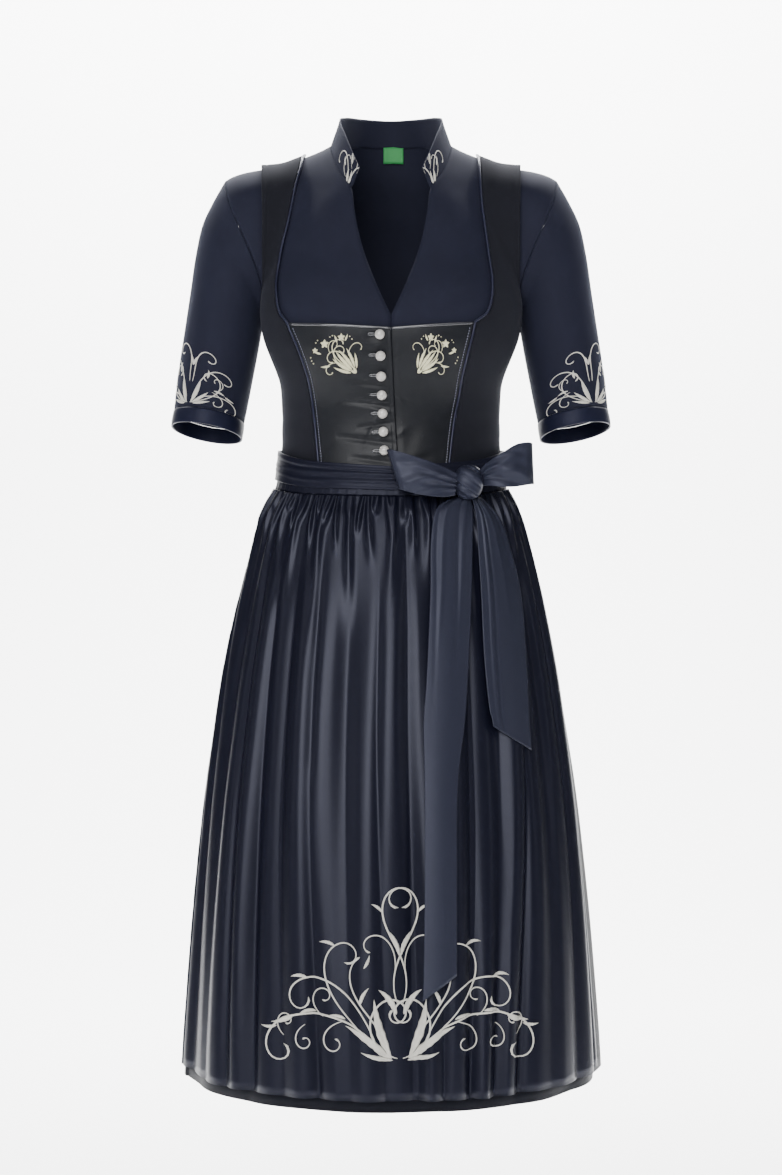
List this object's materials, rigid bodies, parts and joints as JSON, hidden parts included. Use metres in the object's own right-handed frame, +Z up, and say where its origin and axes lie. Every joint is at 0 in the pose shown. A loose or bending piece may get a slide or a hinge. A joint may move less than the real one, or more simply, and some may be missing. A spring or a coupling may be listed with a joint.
{
  "type": "dirndl set with blouse and apron",
  "caption": "Dirndl set in its worn form, hollow: half-sleeved blouse with stand collar, leather-fronted bodice, gathered skirt, gathered apron tied in a bow.",
  "frame": {"origin": "on the centre plane at shoulder height, where a wearer's shoulders carry the dress", "axes": "+X to the wearer's left, -Y to the front, +Z up"},
  "size_m": [0.5152, 0.4267, 1.1393],
  "materials": {
    "jersey": "fine matt knitted jersey",
    "cuff_satin": "satin",
    "label_cloth": "woven label cloth, bare",
    "bodice_cloth": "matt woven wool",
    "leather": "smooth, slightly shiny",
    "piping_satin": "satin",
    "pearl": "pearly white, glossy",
    "apron_satin": "shiny satin",
    "skirt_satin": "soft satin"
  },
  "bodies": {
    "root": {"blouse_front_right": "jersey", "blouse_front_left": "jersey", "blouse_back": "jersey", "collar": "jersey", "sleeve_right": "jersey", "sleeve_left": "jersey", "cuff_right": "cuff_satin", "cuff_left": "cuff_satin", "neck_label": "label_cloth", "side_front_right": "bodice_cloth", "side_front_left": "bodice_cloth", "side_back_right": "bodice_cloth", "side_back_left": "bodice_cloth", "back_centre": "bodice_cloth", "leather_front_right": "leather", "leather_front_left": "leather", "top_binding_right": "leather", "top_binding_left": "leather", "buttonhole_1": "leather", "buttonhole_2": "leather", "buttonhole_3": "leather", "buttonhole_4": "leather", "buttonhole_5": "leather", "buttonhole_6": "leather", "buttonhole_7": "leather", "piping_right": "piping_satin", "piping_left": "piping_satin", "piping_back": "piping_satin", "button_1": "pearl", "button_2": "pearl", "button_3": "pearl", "button_4": "pearl", "button_5": "pearl", "button_6": "pearl", "button_7": "pearl", "apron_waistband": "apron_satin", "tie_wrap": "apron_satin", "apron_panel": "apron_satin", "bow_loop_right": "apron_satin", "bow_loop_left": "apron_satin", "bow_knot": "apron_satin", "tail_long": "apron_satin", "tail_short": "apron_satin", "skirt_front": "skirt_satin", "skirt_back": "skirt_satin"}
  },
  "joints": []
}
